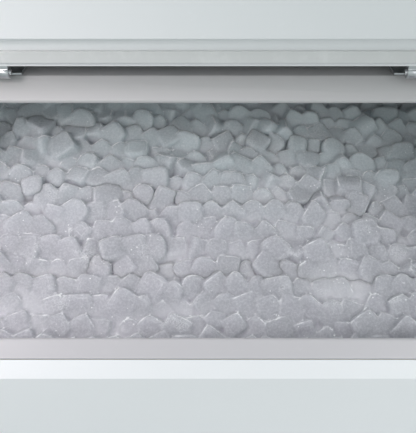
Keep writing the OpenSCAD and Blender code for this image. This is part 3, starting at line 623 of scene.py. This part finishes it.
@dataclass
class CarriedParts:
    """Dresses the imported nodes: a finish each, and eased edges."""

    wardrobe: Wardrobe
    edges: Dict[str, Edge] = field(
        default_factory=lambda: {
            "sill_frame": Edge.SOFT,
            "bin_liner": Edge.FINE,
            "bin_shell": Edge.FINE,
            "door_header": Edge.FINE,
            "door_outer": Edge.MOULDED,
            "door_liner": Edge.MOULDED,
            "door_gasket": Edge.MOULDED,
            "door_handle": Edge.MOULDED,
            "front_panel": Edge.SHEET,
            "top_panel": Edge.SHEET,
            "side_panel_left": Edge.SHEET,
            "side_panel_right": Edge.SHEET,
            "back_panel": Edge.SHEET,
            "front_grille": Edge.SHEET,
            "air_filter": Edge.SHEET,
            "condenser": Edge.NONE,
            "evaporator": Edge.NONE,
            "fan_blade": Edge.SHEET,
            "panel_screws": Edge.NONE,
        }
    )
    weld_gap: float = 0.00001
    bevel_steps: int = 2
    bend_limit: float = 34.0

    def dress(self) -> Dict[str, str]:
        """Gives each node its finish and its modifiers.

        Returns:
            The slot that each node was dressed from.
        """
        slots = {p["node"]: p["material_slot"] for p in frame["record"]["subparts"]}
        for name, obj in frame["nodes"].items():
            material = self.wardrobe.get(slots[name])
            obj.data.materials.clear()
            obj.data.materials.append(material)
            self.ease(obj, self.edges.get(name, Edge.FINE))
        return {name: slots[name] for name in frame["nodes"]}

    def ease(self, obj: bpy.types.Object, edge: Edge) -> None:
        """Rounds an object's sharp edges a little.

        Args:
            obj: the node's object.
            edge: how far.
        """
        if edge is Edge.NONE:
            return
        weld = obj.modifiers.new("weld", "WELD")
        weld.merge_threshold = self.weld_gap
        bevel = obj.modifiers.new("bevel", "BEVEL")
        bevel.width = edge.value
        bevel.segments = self.bevel_steps
        bevel.limit_method = "ANGLE"
        bevel.angle_limit = math.radians(self.bend_limit)
        bevel.use_clamp_overlap = True
        bevel.harden_normals = True


# ---------------------------------------------------------------- ice


@dataclass
class IceCube:
    """One worn cube, of which the heap holds many copies.

    The shares are of its size, and each runs between a least and a most.
    """

    size: float = 0.032
    seed: int = 1
    side_counts: Tuple[int, ...] = (4, 4, 4, 4, 4, 5, 5, 6)
    foot_share: Span = (0.95, 1.12)
    top_share: Span = (0.84, 1.0)
    height_share: Span = (0.78, 1.02)
    stretch_x: Span = (0.84, 1.02)
    stretch_y: Span = (0.88, 1.14)
    post_round: Span = (0.16, 0.38)
    cap_round: Span = (0.07, 0.13)
    uneven: float = 0.0022
    melt: float = 0.0012
    melt_pitch: float = 55.0
    melt_shift: float = 7.1
    planes: np.ndarray = field(default_factory=lambda: np.zeros((0, 4)))

    def build(self) -> bpy.types.Mesh:
        """Makes the cube, with melted corners and slightly uneven sides.

        Its flat sides are kept as planes, a normal and a distance each.

        Returns:
            A closed mesh round the origin.
        """
        pick = random.Random(self.seed)
        sides = pick.choice(self.side_counts)
        half = self.size * (0.5 / math.cos(math.pi / sides))
        bm = bmesh.new()
        bmesh.ops.create_cone(
            bm,
            cap_ends=True,
            cap_tris=False,
            segments=sides,
            radius1=half * pick.uniform(*self.foot_share),
            radius2=half * pick.uniform(*self.top_share),
            depth=self.size * pick.uniform(*self.height_share),
        )
        bmesh.ops.rotate(bm, verts=bm.verts, matrix=Matrix.Rotation(math.pi / sides, 3, "Z"))
        stretch = Vector((pick.uniform(*self.stretch_x), pick.uniform(*self.stretch_y), 1.0))
        bmesh.ops.scale(bm, vec=stretch, verts=bm.verts)
        for vert in bm.verts:
            vert.co += Vector([pick.uniform(-self.uneven, self.uneven) for _ in range(3)])
        bm.normal_update()
        self.planes = np.array(
            [(*face.normal, face.normal.dot(face.calc_center_median())) for face in bm.faces]
        )
        posts = [e for e in bm.edges if abs(e.verts[0].co.z - e.verts[1].co.z) > self.size / 2]
        self.ease(bm, posts, self.size * pick.uniform(*self.post_round), 3)
        caps = [e for e in bm.edges if all(v.co.z > 0 for v in e.verts)]
        self.ease(bm, caps, self.size * pick.uniform(*self.cap_round), 2)
        for vert in bm.verts:
            spot = vert.co * self.melt_pitch + Vector((self.seed * self.melt_shift, 0, 0))
            vert.co += noise.noise_vector(spot) * self.melt
        bmesh.ops.recalc_face_normals(bm, faces=bm.faces)
        mesh = bpy.data.meshes.new(f"cube_kind_{self.seed}")
        bm.to_mesh(mesh)
        bm.free()
        return mesh

    def ease(
        self, bm: bmesh.types.BMesh, edges: Sequence[bmesh.types.BMEdge], width: float, steps: int
    ) -> None:
        """Rounds some edges.

        Args:
            bm: the shape.
            edges: the edges to round.
            width: how far the rounding reaches.
            steps: how many strips it is made of.
        """
        bmesh.ops.bevel(
            bm,
            geom=list(edges),
            offset=width,
            offset_type="OFFSET",
            segments=steps,
            profile=0.5,
            affect="EDGES",
            material=-1,
            clamp_overlap=True,
        )


@dataclass
class LaidCube:
    """Where one cube of the heap lies, and the planes of its sides there."""

    centre: Vector
    planes: np.ndarray
    shade: float

    @classmethod
    def lay(
        cls, kind: IceCube, centre: Vector, turn: Matrix, grow: float, shade: float
    ) -> "LaidCube":
        """Turns a kind of cube's planes into place.

        Args:
            kind: the cube that is copied.
            centre: where its middle goes.
            turn: how it lies.
            grow: how large it is.
            shade: its own tone.

        Returns:
            The record of the cube.
        """
        turned = kind.planes[:, :3] @ np.array(turn.to_3x3()).T
        return cls(centre, np.column_stack([turned, kind.planes[:, 3] * grow]), shade)

    def measure(self, place: np.ndarray) -> Tuple[np.ndarray, np.ndarray]:
        """Distances of points outside the cube's two nearest planes.

        Args:
            place: the points, one row each.

        Returns:
            The larger and the second distance of each point.
        """
        away = (place - np.array(self.centre)) @ self.planes[:, :3].T - self.planes[:, 3]
        ranked = np.partition(away, -2, axis=1)
        return ranked[:, -1], ranked[:, -2]


@dataclass
class IceHeap:
    """The bed of loose, half-fused ice in the bin.

    Lengths and places are in metres, and what is called a share is of a cube's size.
    settled_y runs from the sill, where the cubes have settled, to where they lie loose.
    lift_spread and turn_spread go with it, as core_depth does with core_y and frost_fill
    with frost_y.
    """

    wardrobe: Wardrobe
    # the cubes, and how close they are packed
    kinds: int = 24
    cube: float = 0.032
    grow_mean: float = 0.96
    grow_spread: float = 0.12
    grow_limits: Span = (0.74, 1.18)
    spacing: float = 0.0255
    row_share: float = 0.86
    wall_share: float = 0.62
    layers: int = 2
    top_share: float = 0.46
    layer_share: float = 0.62
    upper_shares: Span = (0.60, 0.30)
    sink: float = 0.003
    push_steps: int = 10
    push: float = 0.22
    push_axes: Point = (1.0, 1.0, 0.6)
    bands: int = 8
    voxel: float = 0.0021
    seed: int = 11
    # the heap's top, from the sill up to its peak and down again behind
    sill_height: float = 0.768
    sill_gap: float = 0.0054
    slope: float = 27.4
    peak_y: float = -0.080
    hump: float = 0.025
    hump_y: Span = (0.0, 0.100)
    rear_drop: float = 0.050
    cross_fall: float = -0.085
    cross_start: float = 0.08
    cross_reach: float = 0.2
    cross_x: float = -0.10
    swell_height: float = 0.011
    swell_pitch: float = 7.0
    swell_slice: float = 3.0
    # how the cubes lie
    lean: float = 42.0
    tumbled: float = 0.5
    settled_y: Span = (-0.35, -0.12)
    shift: float = 0.008
    lift_spread: Span = (0.0025, 0.0055)
    turn_spread: Span = (0.10, 0.26)
    # the older ice under them
    core_y: float = -0.15
    core_depth: Span = (0.0072, 0.0155)
    core_wall: float = 0.006
    core_overlap: float = 0.012
    core_thickness: float = 0.030
    core_lump: float = 0.004
    lump_pitch: float = 30.0
    core_grid: Tuple[int, int] = (44, 14)
    # what the skin's points store
    reach_share: float = 0.95
    # the way the skin must face to carry the painted rim highlight
    uphill: Point = (0.0, 0.75, 0.66)
    bare_own: float = 0.006
    bare_other: float = 0.02
    bare_shade: float = 0.3
    # the hollows' pale frost, which also lifts their shade as painted light
    frost_start: float = 0.002
    frost_reach: float = 0.008
    frost_y: Span = (-0.33, -0.10)
    frost_fill: Span = (1.0, 0.45)
    slush_start: float = 0.0012
    slush_reach: float = 0.003
    low: Vector = field(default_factory=Vector)
    high: Vector = field(default_factory=Vector)

    def surface(self, y: Places) -> Places:
        """Height of the heap's even top at a depth into the bin.

        Args:
            y: one place along the bin's depth, or an array of them.

        Returns:
            The height above the floor.
        """
        start = self.sill_height
        run = self.peak_y - (self.low.y - self.sill_gap)
        peak = start + run * math.tan(math.radians(self.slope))
        depths = [self.low.y, self.peak_y, *self.hump_y, self.high.y]
        heights = [start, peak, peak + self.hump, peak + self.hump, peak - self.rear_drop]
        return np.interp(y, depths, heights)

    def centres(self) -> List[Vector]:
        """Places the cubes in uneven layers under the heap's top.

        Returns:
            The centre of each cube.
        """
        pick = random.Random(self.seed)
        points: List[Vector] = []
        margin = self.cube * self.wall_share
        rows = int((self.high.y - self.low.y - 2 * margin) / (self.spacing * self.row_share))
        columns = int((self.high.x - self.low.x - 2 * margin) / self.spacing)
        for layer in range(self.layers):
            for row in range(rows + 1):
                y = self.low.y + margin + row * self.spacing * self.row_share
                offset = 0.5 * ((row + layer) % 2)
                for column in range(columns + 1):
                    x = self.low.x + margin + (column + offset) * self.spacing
                    deep = -self.cube * (self.top_share + self.layer_share * layer)
                    rough = float(np.interp(y, self.settled_y, self.lift_spread))
                    jitter = [pick.uniform(-a, a) for a in (self.shift, self.shift, rough)]
                    points.append(Vector((x, y, deep)) + Vector(jitter))
        place = np.array([tuple(p) for p in points])
        for _ in range(self.push_steps):
            place = self.push_apart(place)
        low = np.array([self.low.x + margin, self.low.y + margin])
        high = np.array([self.high.x - margin, self.high.y - margin])
        place[:, :2] = np.clip(place[:, :2], low, high)
        upper = len(place) // self.layers
        lowest, highest = (-self.cube * share for share in self.upper_shares)
        place[:upper, 2] = np.clip(place[:upper, 2], lowest, highest)
        result = []
        for x, y, depth in place:
            height = self.surface(y) + self.tilt(x, y) + self.swell(x, y) + depth
            result.append(Vector((x, y, height - self.sink)))
        return result

    def tilt(self, x: Places, y: Places) -> Places:
        """How far the heap stands over or under its even surface: it is higher on the left.

        Args:
            x: the place across the bin.
            y: the place along its depth.

        Returns:
            The difference in height.
        """
        back = np.clip((y - self.low.y - self.cross_start) / self.cross_reach, 0.0, 1.0)
        return self.cross_fall * back * (x - self.cross_x)

    def swell(self, x: float, y: float) -> float:
        """The heap's broad, uneven lumps, as a difference in height."""
        spot = Vector((x * self.swell_pitch, y * self.swell_pitch, self.swell_slice))
        return self.swell_height * noise.noise(spot)

    def push_apart(self, place: np.ndarray) -> np.ndarray:
        """One step that moves crowded centres away from each other.

        Args:
            place: the centres, one row each.

        Returns:
            The moved centres.
        """
        reach = self.spacing
        cell = np.floor(place / reach).astype(int)
        table: Dict[Tuple[int, int, int], List[int]] = {}
        for index, key in enumerate(map(tuple, cell)):
            table.setdefault(key, []).append(index)
        moved = place.copy()
        for index, key in enumerate(map(tuple, cell)):
            near = [
                other
                for dx in (-1, 0, 1) for dy in (-1, 0, 1) for dz in (-1, 0, 1)
                for other in table.get((key[0] + dx, key[1] + dy, key[2] + dz), ())
                if other != index
            ]
            if not near:
                continue
            away = place[index] - place[near]
            gap = np.linalg.norm(away, axis=1)
            close = gap < reach
            if close.any():
                push = (away[close] / gap[close, None]) * (reach - gap[close, None])
                moved[index] += self.push * push.sum(axis=0) * np.array(self.push_axes)
        return moved

    def turn(self, pick: random.Random, y: float) -> Matrix:
        """A random way for a cube to lie, most often flat against the slope.

        Args:
            pick: the source of chance.
            y: the cube's place along the bin's depth; the front ones have settled flatter.

        Returns:
            A rotation.
        """
        loose = float(np.interp(y, self.settled_y, self.turn_spread))
        spin = Matrix.Rotation(pick.uniform(-math.pi, math.pi), 4, "Z")
        if pick.random() < self.tumbled * loose:
            tip = Euler([pick.uniform(-math.pi, math.pi) for _ in range(3)]).to_matrix()
            return tip.to_4x4() @ spin
        lean = math.radians(self.lean) + pick.gauss(0.0, loose)
        side = pick.gauss(0.0, loose)
        return Matrix.Rotation(side, 4, "Y") @ Matrix.Rotation(lean, 4, "X") @ spin

    def build(self) -> List[bpy.types.Object]:
        """Makes the heap and puts it in the place of the plain bed.

        Returns:
            The pieces made.
        """
        self.low, self.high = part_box("ice_bed")
        pick = random.Random(self.seed + 1)
        noise.seed_set(self.seed)
        kinds = [IceCube(self.cube, k + 1) for k in range(self.kinds)]
        least, most = self.grow_limits
        meshes = [kind.build() for kind in kinds]
        centres = sorted(self.centres(), key=lambda p: p.y)
        cuts = [len(centres) * k // self.bands for k in range(self.bands + 1)]
        pieces: List[bpy.types.Object] = []
        for band, (first, last) in enumerate(zip(cuts, cuts[1:])):
            bm = bmesh.new()
            laid: List[LaidCube] = []
            for centre in centres[first:last]:
                which = pick.randrange(len(kinds))
                grow = min(most, max(least, pick.gauss(self.grow_mean, self.grow_spread)))
                turn = self.turn(pick, centre.y)
                copy = meshes[which].copy()
                copy.transform(Matrix.Translation(centre) @ turn @ Matrix.Scale(grow, 4))
                bm.from_mesh(copy)
                bpy.data.meshes.remove(copy)
                laid.append(LaidCube.lay(kinds[which], centre, turn, grow, pick.random()))
            overlap = self.core_overlap
            self.add_core(bm, centres[first].y - overlap, centres[last - 1].y + overlap)
            pieces.append(self.fuse(bm, f"ice_band_{band + 1}", laid))
        for mesh in meshes:
            bpy.data.meshes.remove(mesh)
        return pieces

    def add_core(self, bm: bmesh.types.BMesh, front: float, rear: float) -> None:
        """Adds the older ice under the loose cubes of one band.

        Args:
            bm: the band's shape.
            front: where the band starts.
            rear: where it ends.
        """
        front = max(front, self.low.y + self.core_wall)
        rear = min(rear, self.high.y - self.core_wall)
        size = self.high - self.low
        middle = (self.high + self.low) / 2
        across, along = self.core_grid
        grid = bmesh.ops.create_grid(bm, x_segments=across, y_segments=along, size=0.5)["verts"]
        for vert in grid:
            x = middle.x + vert.co.x * (size.x - 2 * self.core_wall)
            y = front + (vert.co.y + 0.5) * (rear - front)
            spot = Vector((x * self.lump_pitch, y * self.lump_pitch, 0.0))
            sunk = float(np.interp(y, [self.low.y, self.core_y], self.core_depth))
            top = self.surface(y) + self.tilt(x, y) + self.swell(x, y)
            vert.co = Vector((x, y, top - sunk + self.core_lump * noise.noise(spot)))
        faces = list(dict.fromkeys(face for vert in grid for face in vert.link_faces))
        wall = bmesh.ops.extrude_face_region(bm, geom=faces, use_keep_orig=True)
        for part in wall["geom"]:
            if isinstance(part, bmesh.types.BMVert):
                part.co.z -= self.core_thickness
        bmesh.ops.recalc_face_normals(bm, faces=bm.faces)

    def fuse(self, bm: bmesh.types.BMesh, name: str, laid: Sequence[LaidCube]) -> bpy.types.Object:
        """Melts overlapping cubes into one skin and marks its edges.

        Args:
            bm: the overlapping shapes, which are freed.
            name: the piece's name.
            laid: the cubes in it.

        Returns:
            The finished piece.
        """
        raw = bpy.data.meshes.new(name + "_raw")
        bm.to_mesh(raw)
        bm.free()
        holder = bpy.data.objects.new(name + "_raw", raw)
        bpy.context.scene.collection.objects.link(holder)
        melt = holder.modifiers.new("melt", "REMESH")
        melt.mode = "VOXEL"
        melt.voxel_size = self.voxel
        settle = holder.modifiers.new("settle", "SMOOTH")
        settle.factor = 0.5
        settle.iterations = 1
        view = bpy.context.evaluated_depsgraph_get()
        mesh = bpy.data.meshes.new_from_object(holder.evaluated_get(view))
        bpy.data.objects.remove(holder)
        bpy.data.meshes.remove(raw)
        mesh.name = name
        self.mark(mesh, laid)
        mesh.polygons.foreach_set("use_smooth", [True] * len(mesh.polygons))
        mesh.materials.clear()
        mesh.materials.append(self.wardrobe.get("ice"))
        obj = bpy.data.objects.new(name, mesh)
        bpy.context.scene.collection.objects.link(obj)
        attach(obj, "machine")
        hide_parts("ice_bed")
        return obj

    def mark(self, mesh: bpy.types.Mesh, laid: Sequence[LaidCube]) -> None:
        """Stores numbers on each point, which the ice's finish reads.

        They are the tone of the cube it belongs to, how near it is to that cube's edge
        and to the next cube (which sets the painted shade in the joins), how far it faces up
        and back (which gates the painted rim highlight), how full of frost the hollow is that
        it lies in (a pale fill that also lifts the shade there as painted light), and whether
        it is crushed ice between the cubes.

        Args:
            mesh: the fused skin.
            laid: the cubes in it.
        """
        count = len(mesh.vertices)
        place = np.empty(count * 3, dtype=np.float32)
        mesh.vertices.foreach_get("co", place)
        place = place.reshape(-1, 3).astype(np.float64)
        normal = np.empty(count * 3, dtype=np.float32)
        mesh.vertex_normals.foreach_get("vector", normal)
        # how far each point faces up and back, the mask of the painted rim highlight
        lift = normal.reshape(-1, 3) @ np.array(self.uphill)
        reach = self.cube * self.reach_share
        own = np.full(count, self.bare_own)
        other = np.full(count, self.bare_other)
        edge = np.full(count, -self.bare_other)
        shade = np.full(count, self.bare_shade)
        for cube in laid:
            near = np.flatnonzero((np.abs(place - np.array(cube.centre)) < reach).all(axis=1))
            if not len(near):
                continue
            first, second = cube.measure(place[near])
            closer = first < own[near]
            other[near] = np.where(closer, own[near], np.minimum(other[near], first))
            edge[near] = np.where(closer, second - first, edge[near])
            shade[near] = np.where(closer, cube.shade, shade[near])
            own[near] = np.where(closer, first, own[near])
        even = self.surface(place[:, 1]) + self.tilt(place[:, 0], place[:, 1])
        even += np.array([self.swell(x, y) for x, y in place[:, :2]])
        # depth below the even top, for the pale frost that also lifts the hollows' shade
        sunk = np.clip((even - place[:, 2] - self.frost_start) / self.frost_reach, 0.0, 1.0)
        filled = sunk * np.interp(place[:, 1], self.frost_y, self.frost_fill)
        slush = np.clip((own - self.slush_start) / self.slush_reach, 0.0, 1.0)
        readings = {
            "edge": edge,
            "join": other - own,
            "lift": lift,
            "shade": shade,
            "filled": filled,
            "slush": slush,
        }
        for key, numbers in readings.items():
            layer = mesh.attributes.new(key, "FLOAT", "POINT")
            layer.data.foreach_set("value", numbers.astype(np.float32))


# ---------------------------------------------------------------- studio


@dataclass(frozen=True)
class Lamp:
    """A soft square light that hangs at one point and faces another.

    Its side is in metres, its power in watts and the spread of its beam in degrees.
    """

    name: str
    place: Point
    aim: Point
    side: float
    power: float
    colour: Colour
    spread: float = 180.0

    def hang(self) -> None:
        """Adds the light to the scene."""
        data = bpy.data.lights.new(self.name, "AREA")
        data.spread = math.radians(self.spread)
        data.size = self.side
        data.energy = self.power
        data.color = self.colour
        obj = bpy.data.objects.new(self.name, data)
        obj.location = self.place
        toward = Vector(self.aim) - Vector(self.place)
        obj.rotation_euler = toward.to_track_quat("-Z", "Y").to_euler()
        bpy.context.scene.collection.objects.link(obj)


LAMPS: Tuple[Lamp, ...] = (
    Lamp("key", (-0.80, -0.74, 2.20), (-0.44, -0.40, 0.78), 1.1, 1.42, (1.0, 0.89, 0.96), 62.0),
    Lamp("low", (-0.85, -1.05, 1.60), (-0.36, -0.16, 0.88), 0.4, 0.56, (1.0, 0.92, 0.95), 52.0),
    Lamp("sill", (0.75, -1.15, 1.25), (0.30, -0.45, 0.77), 0.5, 0.17, (1.0, 0.96, 0.98), 36.0),
    Lamp("front", (-0.7, -2.6, 1.30), (-0.05, -0.2, 0.95), 1.6, 2.8, (1.0, 0.955, 0.975)),
    Lamp("fill", (1.9, -2.2, 1.8), (0.0, -0.2, 0.9), 2.2, 4.4, (0.98, 0.955, 1.0)),
    Lamp("rear", (0.8, 2.6, 2.4), (0.0, 0.0, 1.0), 2.0, 30.0, (1.0, 1.0, 1.0)),
)


@dataclass
class Studio:
    """Camera, lights, floor and surroundings."""

    eye: Point = (0.0, -0.8403, 1.2763)
    pitch: float = 35.0
    lens: float = 48.06
    film: float = 36.0
    floor_reach: float = 40.0
    floor_colour: Colour = (0.80, 0.80, 0.80)
    air_colour: Colour = (0.88, 1.0, 1.0)
    air_strength: float = 0.61

    def camera(self) -> None:
        """Puts the camera where one leans over the open bin."""
        data = bpy.data.cameras.new("camera")
        data.lens = self.lens
        data.sensor_width = self.film
        data.clip_start = 0.01
        obj = bpy.data.objects.new("camera", data)
        obj.location = self.eye
        obj.rotation_euler = (math.radians(90.0 - self.pitch), 0.0, 0.0)
        bpy.context.scene.collection.objects.link(obj)
        bpy.context.scene.camera = obj

    def floor(self) -> None:
        """Lays the floor."""
        bm = bmesh.new()
        bmesh.ops.create_grid(bm, x_segments=1, y_segments=1, size=self.floor_reach)
        mesh = bpy.data.meshes.new("studio_floor")
        bm.to_mesh(mesh)
        bm.free()
        obj = bpy.data.objects.new("studio_floor", mesh)
        mesh.materials.append(StudioFloor("studio_floor", self.floor_colour).material())
        bpy.context.scene.collection.objects.link(obj)

    def surroundings(self) -> None:
        """Fills the space around with even, pale light."""
        world = bpy.data.worlds.new("surroundings")
        bpy.context.scene.world = world
        world.use_nodes = True
        back = world.node_tree.nodes["Background"]
        back.inputs["Color"].default_value = (*self.air_colour, 1.0)
        back.inputs["Strength"].default_value = self.air_strength
        bpy.context.scene.view_settings.view_transform = "Standard"

    def build(self) -> None:
        """Sets the whole studio but the camera."""
        self.surroundings()
        self.floor()
        for lamp in LAMPS:
            lamp.hang()


def main() -> None:
    """Builds the studio, dresses the parts and heaps the ice."""
    logging.basicConfig(level=logging.INFO, format="%(name)s: %(message)s")
    wardrobe = Wardrobe()
    studio = Studio()
    studio.camera()
    for node, slot in CarriedParts(wardrobe).dress().items():
        LOG.info("dressed %s as %s", node, slot)
    for piece in IceHeap(wardrobe).build():
        LOG.info("built %s with %d faces", piece.name, len(piece.data.polygons))
    studio.build()


if __name__ == "__main__":
    main()
